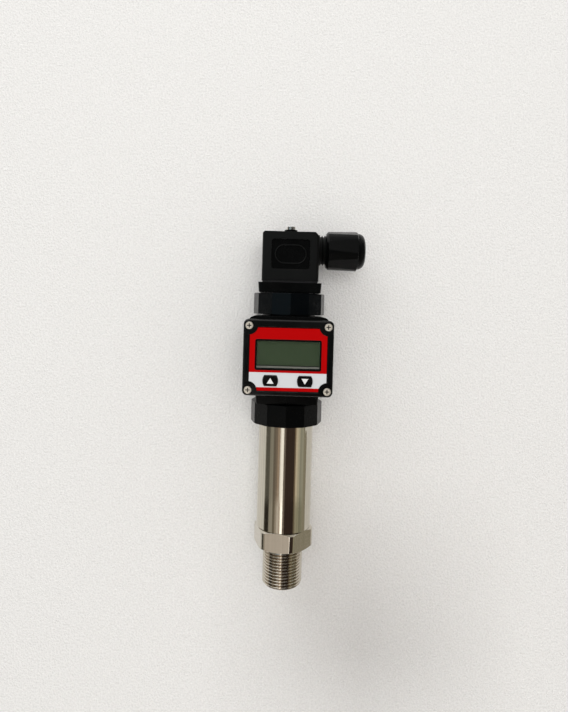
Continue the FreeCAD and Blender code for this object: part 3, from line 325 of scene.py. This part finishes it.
def replace_node(node, shape, extra=()):
    """Show a reworked shape in place of its CAD node, with the node's own material first."""
    shape.normal_update()
    for face in shape.faces:
        face.smooth = True
    for edge in shape.edges:
        edge.smooth = edge.calc_face_angle(0) < SHARP
    mesh = bpy.data.meshes.new(node + "_shape")
    shape.to_mesh(mesh)
    shape.free()
    piece = new_piece(node + "_shown", mesh, finish_of(node), body_of(node))
    for finish in extra:
        mesh.materials.append(MATERIALS[finish])
    even = piece.modifiers.new("flat_faces_stay_flat", "WEIGHTED_NORMAL")
    even.keep_sharp = True
    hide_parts(node)


def islands(shape):
    """The separate solids of a shape, each as a list of its points."""
    left = set(shape.verts)
    found = []
    while left:
        island = []
        front = [left.pop()]
        while front:
            vertex = front.pop()
            island.append(vertex)
            neighbours = {edge.other_vert(vertex) for edge in vertex.link_edges} & left
            left -= neighbours
            front.extend(neighbours)
        found.append(island)
    return found


def middle_of(points, axis):
    """Half way between the lowest and the highest of some points along an axis."""
    places = [vertex.co[axis] for vertex in points]
    return (min(places) + max(places)) / 2


def round_edges(shape, edges, width, segments):
    """Round some edges of a shape."""
    bmesh.ops.bevel(shape, geom=edges, offset=width, offset_type="OFFSET", segments=segments,
                    profile=0.5, affect="EDGES", clamp_overlap=True)


# ---------------------------------------------------------------- screws and keys

def cover_screw_heads():
    """The cover screws with rounded rims, and driving crosses painted dark as shade."""
    node = "cover_screws"
    shape = shape_of(node)
    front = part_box(node)[0][1]
    inside_rim, skin, cross_depth, rounding = 1.6 * MM, 0.05 * MM, 0.7 * MM, 0.3 * MM
    axes = {}
    for island in islands(shape):
        axes.update(dict.fromkeys(island, (middle_of(island, 0), middle_of(island, 2))))
    rims = []
    for edge in shape.edges:
        axis_x, axis_z = axes[edge.verts[0]]
        middle = (edge.verts[0].co + edge.verts[1].co) / 2
        off_axis = math.hypot(middle.x - axis_x, middle.z - axis_z)
        if middle.y < front + skin and off_axis > inside_rim:
            rims.append(edge)
    for face in shape.faces:
        depth = face.calc_center_median().y - front
        face.material_index = int(skin < depth < cross_depth and face.normal.y < -0.5)
    round_edges(shape, rims, rounding, segments=4)
    replace_node(node, shape, extra=["cross_shade"])


def soften(node, width):
    """Replace a node by a copy with its sharp edges rounded."""
    shape = shape_of(node)
    flat = math.radians(1)
    bmesh.ops.dissolve_limit(shape, angle_limit=flat, verts=shape.verts, edges=shape.edges)
    sharp = [edge for edge in shape.edges if edge.calc_face_angle(0) > SHARP]
    round_edges(shape, sharp, width, segments=3)
    replace_node(node, shape)


def key_sign(name, key, direction):
    """White triangle printed on a key, pointing up (1) or down (-1)."""
    low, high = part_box(key)
    centre_x, centre_z = (low[0] + high[0]) / 2, (low[2] + high[2]) / 2
    front, back = low[1] - 0.02 * MM, low[1] + 0.05 * MM
    half_width, half_height = 1.65 * MM, 1.35 * MM
    corners = [(-half_width, -half_height), (half_width, -half_height), (0, half_height)]
    shape = bmesh.new()
    near, far = [[shape.verts.new((centre_x + x, level, centre_z + z * direction))
                  for x, z in corners] for level in (front, back)]
    shape.faces.new(near)
    shape.faces.new(far)
    for first, second in ((0, 1), (1, 2), (2, 0)):
        shape.faces.new([near[first], near[second], far[second], far[first]])
    bmesh.ops.recalc_face_normals(shape, faces=shape.faces)
    mesh = bpy.data.meshes.new(name)
    shape.to_mesh(mesh)
    new_piece(name, mesh, "sign_white", body_of(key))


# ---------------------------------------------------------------- threads

STATION_STEP = 0.1 * MM


def thread_groove(along, angle, pitch):
    """Depth of a right-handed groove at a place: 0 on the flat crest, 1 at the flat root."""
    crest, root = 1 / 8, 1 / 4
    phase = (along / pitch - angle / (2 * math.pi)) % 1
    off_crest = min(phase, 1 - phase) - crest / 2
    return min(1, max(0, off_crest / (0.5 - crest / 2 - root / 2)))


def add_skin(shape, centre, along, right, up, stations, radius_at):
    """A round skin about an axis, whose radius depends on the place along it and the angle."""
    count = 96
    rings = []
    for station in stations:
        ring = []
        for step in range(count):
            angle = 2 * math.pi * step / count
            outward = right * math.cos(angle) + up * math.sin(angle)
            place = centre + along * station + outward * radius_at(station, angle)
            ring.append(shape.verts.new(place))
        rings.append(ring)
    for first, second in zip(rings, rings[1:]):
        for step in range(count):
            following = (step + 1) % count
            shape.faces.new([first[step], first[following], second[following], second[step]])


def stations_between(start, end, step):
    """Evenly spaced places from start to end, both included."""
    count = round((end - start) / step)
    return [start + (end - start) * index / count for index in range(count + 1)]


def cut_round_skin(shape, centre, along, start, end, inner):
    """Remove the side faces that lie outside a radius about an axis, between two places on it."""
    doomed = []
    for face in shape.faces:
        offset = face.calc_center_median() - centre
        place = offset.dot(along)
        distance = (offset - along * place).length
        if start < place < end and distance > inner and abs(face.normal.dot(along)) < 0.95:
            doomed.append(face)
    bmesh.ops.delete(shape, geom=doomed, context="FACES")


def process_thread():
    """The M20 x 1.5 thread under the hexagon, with its run-out, its chamfered end and painted
    shade in its roots.
    """
    node = "process_connection"
    shape = shape_of(node)
    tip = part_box(node)[0][2]
    pitch, depth, radius, chamfer = 1.5 * MM, 0.85 * MM, 10 * MM, 1.25 * MM
    plain_length, run_out = 1.3 * MM, 1.1 * MM
    origin, up = Vector((0, 0, 0)), Vector((0, 0, 1))
    cut_round_skin(shape, origin, up, tip - 1 * MM, 0, radius - chamfer - 0.1 * MM)

    def radius_at(station, angle):
        fade = min(1, max(0, (-station - plain_length) / run_out))
        cut = radius - depth * fade * thread_groove(station, angle, pitch)
        return min(cut, radius - chamfer + (station - tip))

    add_skin(shape, origin, up, Vector((1, 0, 0)), Vector((0, 1, 0)),
             stations_between(tip, 0, STATION_STEP), radius_at)
    groove_end, groove_start, outside_bore = tip + 0.2 * MM, -2 * MM, 8 * MM
    # Faces deep in the groove take the darker brown steel, a painted shade in the thread's roots.
    for face in shape.faces:
        centre = face.calc_center_median()
        threaded = (groove_end < centre.z < groove_start
                    and math.hypot(centre.x, centre.y) > outside_bore)
        deep = thread_groove(centre.z, math.atan2(centre.y, centre.x), pitch) > 0.7
        face.material_index = int(threaded and deep)
    replace_node(node, shape, extra=["painted_groove_shade_steel"])


def finish_front_panel(shape):
    """Give the floor and sides of the recess in the plug's front face the second finish."""
    low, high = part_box("plug_housing")
    front = low[1]
    centre_z = (low[2] + high[2]) / 2 + 0.5 * MM
    half_width, half_height = 9.4 * MM, 8.5 * MM
    rim, ring_top, floor = front + 0.1 * MM, front + 0.5 * MM, front + 1.2 * MM
    for face in shape.faces:
        centre = face.calc_center_median()
        inside = abs(centre.x) < half_width and abs(centre.z - centre_z) < half_height
        on_ring = abs(centre.y - ring_top) < 0.05 * MM and abs(face.normal.y) > 0.9
        face.material_index = int(inside and rim < centre.y < floor and not on_ring)


def gland_thread():
    """The thread on the plug's spigot, with the pitch at which the gland nut travels."""
    node = "plug_housing"
    shape = shape_of(node)
    low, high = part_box(node)
    ring_low, ring_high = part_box("gland_slip_ring")
    level = (ring_low[2] + ring_high[2]) / 2
    nut_travel, nut_turn = 4.23 * MM, math.radians(1080)
    pitch = 2 * math.pi * nut_travel / nut_turn
    depth, radius, chamfer = 0.75 * MM, 7.6 * MM, 0.6 * MM
    boss_reach, run_out = 0.8 * MM, 0.5 * MM
    start, end = -low[0] + boss_reach, high[0]
    centre, along = Vector((0, 0, level)), Vector((1, 0, 0))
    cut_round_skin(shape, centre, along, start, end + 1 * MM, radius - 0.3 * MM)

    def radius_at(station, angle):
        fade = min(1, max(0, (station - start) / run_out))
        cut = radius - depth * fade * thread_groove(station, angle, pitch)
        return min(cut, radius - chamfer + (end - station))

    add_skin(shape, centre, along, Vector((0, 1, 0)), Vector((0, 0, 1)),
             stations_between(start, end, STATION_STEP), radius_at)
    finish_front_panel(shape)
    replace_node(node, shape, extra=["panel_nylon"])


process_thread()
gland_thread()
cover_screw_heads()
soften("up_key", 0.45 * MM)
soften("down_key", 0.45 * MM)
key_sign("up_sign", "up_key", 1)
key_sign("down_sign", "down_key", -1)


# ---------------------------------------------------------------- set, light and camera

FLOOR = -1.6


def upright(left, right, foot, head, depth):
    """The corners of an upright rectangle that faces the front."""
    return [(left, depth, foot), (right, depth, foot), (right, depth, head), (left, depth, head)]


def stage_plane(name, corners, material):
    """A flat four-cornered piece of the set."""
    mesh = bpy.data.meshes.new(name)
    mesh.from_pydata(corners, [], [(0, 1, 2, 3)])
    mesh.materials.append(material)
    plane = bpy.data.objects.new(name, mesh)
    bpy.context.scene.collection.objects.link(plane)
    return plane


def surface_material(name, colour):
    """Pale surface with a fine raised grain."""
    material, tree, shader = new_material(name)
    dark = tuple(part * 0.93 for part in colour)
    light = tuple(part * 1.06 for part in colour)
    grain = noise(tree, 1000, detail=2.0)
    mottle = tinted(tree, spread(tree, grain, 0, 1), dark, light)
    tree.links.new(mottle, shader.inputs["Base Color"])
    shader.inputs["Roughness"].default_value = 0.55
    shader.inputs["Specular IOR Level"].default_value = 0.25
    relief(tree, shader, grain, 0.6 * MM)
    return material


def make_one_sided(material):
    """Make a material clear from behind, and keep it from casting a shadow."""
    tree = material.node_tree
    side = add(tree, "NewGeometry")
    path = add(tree, "LightPath")
    either = add(tree, "Math", operation="MAXIMUM")
    clear = add(tree, "BsdfTransparent")
    mix = add(tree, "MixShader")
    tree.links.new(side.outputs["Backfacing"], either.inputs[0])
    tree.links.new(path.outputs["Is Shadow Ray"], either.inputs[1])
    tree.links.new(either.outputs["Value"], mix.inputs["Fac"])
    tree.links.new(tree.nodes["Principled BSDF"].outputs["BSDF"], mix.inputs[1])
    tree.links.new(clear.outputs["BSDF"], mix.inputs[2])
    tree.links.new(mix.outputs["Shader"], tree.nodes["Material Output"].inputs["Surface"])


def build_surfaces():
    """The sheet that the transmitter lies against, and a pale floor well below it."""
    reach, clearance = 2.0, 0.1 * MM
    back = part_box("lower_union_nut")[1][1] + clearance
    sheet = surface_material("sheet_pale", (0.89, 0.885, 0.87))
    make_one_sided(sheet)
    stage_plane("sheet", upright(-reach, reach, -reach, reach, back), sheet)
    stage_plane("floor", [(-reach, -reach, FLOOR), (reach, -reach, FLOOR),
                          (reach, reach, FLOOR), (-reach, reach, FLOOR)],
                surface_material("floor_pale", (0.78, 0.77, 0.75)))


# Cards round the front, seen only in reflections. Each row has the angles where a card starts
# and ends, in degrees from -Y towards +X, the height of its top, and the colours of its foot,
# which the hexagon and thread show, its middle, which the tube shows, and its top, which the
# black parts show. Colours above 1 are brighter than white.
CARD_RADIUS = 0.9
CARD_LEVELS = (FLOOR, -0.3, -0.08)
CARDS = [
    (-100, -88, 0.4, (0.3, 0.29, 0.26), (0.55, 0.54, 0.49), (0.2, 0.2, 0.19)),
    (-88, -66, 0.4, (0.03, 0.026, 0.02), (0.12, 0.114, 0.095), (0.08, 0.08, 0.075)),
    (-66, -48, 0.4, (0.36, 0.33, 0.28), (0.3, 0.28, 0.235), (0.12, 0.12, 0.11)),
    (-48, -38, 0.4, (0.2, 0.17, 0.13), (0.18, 0.15, 0.12), (0.12, 0.14, 0.15)),
    (-38, -31, 0.4, (0.42, 0.36, 0.3), (0.24, 0.19, 0.15), (0.24, 0.35, 0.42)),
    (-31, -21, 0.4, (0.59, 0.53, 0.47), (0.38, 0.29, 0.22), (0.24, 0.35, 0.42)),
    (-21, -15, 0.4, (0.6, 0.5, 0.42), (1.1, 1.05, 1.0), (0.28, 0.31, 0.33)),
    (-15, -6, 0.4, (1.9, 1.84, 1.76), (1.4, 1.36, 1.3), (0.36, 0.38, 0.38)),
    (-6, 2, 0.4, (0.2, 0.165, 0.14), (0.2, 0.165, 0.14), (0.06, 0.06, 0.06)),
    (2, 14, 0.4, (0.04, 0.027, 0.021), (0.05, 0.034, 0.027), (0.18, 0.18, 0.18)),
    (14, 40, 0.9, (0.04, 0.027, 0.021), (0.05, 0.034, 0.027), (0.035, 0.035, 0.035)),
    (40, 46, 0.9, (0.15, 0.12, 0.08), (0.2, 0.15, 0.1), (0.08, 0.08, 0.08)),
    (46, 54, 0.9, (0.36, 0.33, 0.24), (0.66, 0.57, 0.44), (0.22, 0.2, 0.18)),
    (54, 64, 0.9, (0.34, 0.32, 0.23), (0.54, 0.5, 0.39), (0.18, 0.17, 0.15)),
    (64, 84, 0.9, (0.28, 0.27, 0.2), (0.38, 0.37, 0.3), (0.13, 0.13, 0.12)),
    (84, 90, 0.9, (0.31, 0.3, 0.21), (0.27, 0.245, 0.2), (0.1, 0.1, 0.1)),
]

# Single cards nearer by: radius, start and end angle, foot, head and colour. The first keeps the
# display's cover dark, and the others shade the right edges of the steel and of the black parts.
NEAR_CARDS = {
    "card_cover": (0.8, -15, 14, -0.06, 0.085, (0.02, 0.02, 0.02)),
    "card_right_foot": (0.135, 80, 97, -0.15, 0.03, (0.3, 0.275, 0.21)),
    "card_right_top": (0.135, 80, 97, 0.075, 0.25, (0.05, 0.05, 0.05)),
}


def card(name, radius, start, end, foot, head, colour):
    """An upright curved card that only reflections see."""
    step = 4.0
    material = bpy.data.materials.new(name)
    material.use_nodes = True
    tree = material.node_tree
    glow = add(tree, "Emission")
    glow.inputs["Color"].default_value = (*colour, 1)
    tree.links.new(glow.outputs["Emission"], tree.nodes["Material Output"].inputs["Surface"])
    count = max(1, round((end - start) / step))
    angles = [math.radians(start + (end - start) * turn / count) for turn in range(count + 1)]
    rim = [(radius * math.sin(angle), -radius * math.cos(angle)) for angle in angles]
    places = [(x, y, z) for z in (foot, head) for x, y in rim]
    faces = [(turn, turn + 1, turn + count + 2, turn + count + 1) for turn in range(count)]
    mesh = bpy.data.meshes.new(name)
    mesh.from_pydata(places, [], faces)
    mesh.materials.append(material)
    piece = bpy.data.objects.new(name, mesh)
    bpy.context.scene.collection.objects.link(piece)
    piece.visible_camera = False
    piece.visible_diffuse = False
    piece.visible_shadow = False
    piece.visible_transmission = False


def build_cards():
    """The cards that give the polished steel and the black plastic their streaks."""
    for index, (start, end, top, *colours) in enumerate(CARDS):
        levels = (*CARD_LEVELS, top)
        for tier, (foot, head, colour) in enumerate(zip(levels, levels[1:], colours)):
            card(f"card_{index}_{tier}", CARD_RADIUS, start, end, foot, head, colour)
    for name, row in NEAR_CARDS.items():
        card(name, *row)


def build_flag():
    """A small brown flag between the front lamp and the sheet, which shades it beside the foot."""
    brown = plastic("flag_brown", (0.2, 0.1, 0.05), (0.22, 0.11, 0.06), 0.9, gloss=0.0)
    flag = stage_plane("flag", upright(left=0.012, right=0.096, foot=-0.07, head=0.022,
                                       depth=-0.13), brown)
    flag.visible_camera = False
    flag.visible_glossy = False
    flag.visible_transmission = False


def area_lamp(name, place, size, power, colour=(1, 1, 1)):
    """A soft square lamp that points at the middle of the transmitter."""
    middle = Vector((0, 0, 0.07))
    light = bpy.data.lights.new(name, "AREA")
    light.size = size
    light.energy = power
    light.color = colour
    lamp = bpy.data.objects.new(name, light)
    lamp.location = place
    lamp.rotation_euler = (middle - Vector(place)).to_track_quat("-Z", "Y").to_euler()
    lamp.visible_camera = False
    bpy.context.scene.collection.objects.link(lamp)
    return lamp


def build_light():
    """Soft lamps from high on the left, from the front and from behind, and an even sky."""
    area_lamp("key_lamp", (-1.0, -1.0, 1.9), size=1.5, power=13.0, colour=(0.95, 0.98, 1.0))
    front_lamp = area_lamp("front_lamp", (0.15, -1.8, 0.4), size=1.0, power=9.6,
                           colour=(1.0, 0.99, 0.98))
    front_lamp.visible_glossy = False
    area_lamp("back_lamp", (0.5, 1.1, 0.6), size=0.8, power=8.0)
    world = bpy.data.worlds.new("studio")
    world.use_nodes = True
    bpy.context.scene.world = world
    sky = world.node_tree.nodes["Background"]
    sky.inputs["Color"].default_value = (0.66, 0.645, 0.63, 1)


def build_camera():
    """The view from straight in front, close enough for the display to stand out."""
    picture_height, focal_length, lens_drop = 712, 535, -51
    place = (-2.6 * MM, -274 * MM, 121.5 * MM)
    data = bpy.data.cameras.new("camera")
    data.sensor_width = 36
    data.lens = focal_length / picture_height * data.sensor_width
    data.shift_y = lens_drop / picture_height
    data.clip_start = 10 * MM
    camera = bpy.data.objects.new("camera", data)
    level = Matrix.Rotation(math.radians(90), 4, "X")
    roll = Matrix.Rotation(math.radians(1.55), 4, "Z")
    camera.matrix_world = Matrix.Translation(place) @ level @ roll
    bpy.context.scene.collection.objects.link(camera)
    bpy.context.scene.camera = camera


build_surfaces()
build_cards()
build_flag()
build_light()
build_camera()
bpy.context.scene.view_settings.view_transform = "Standard"
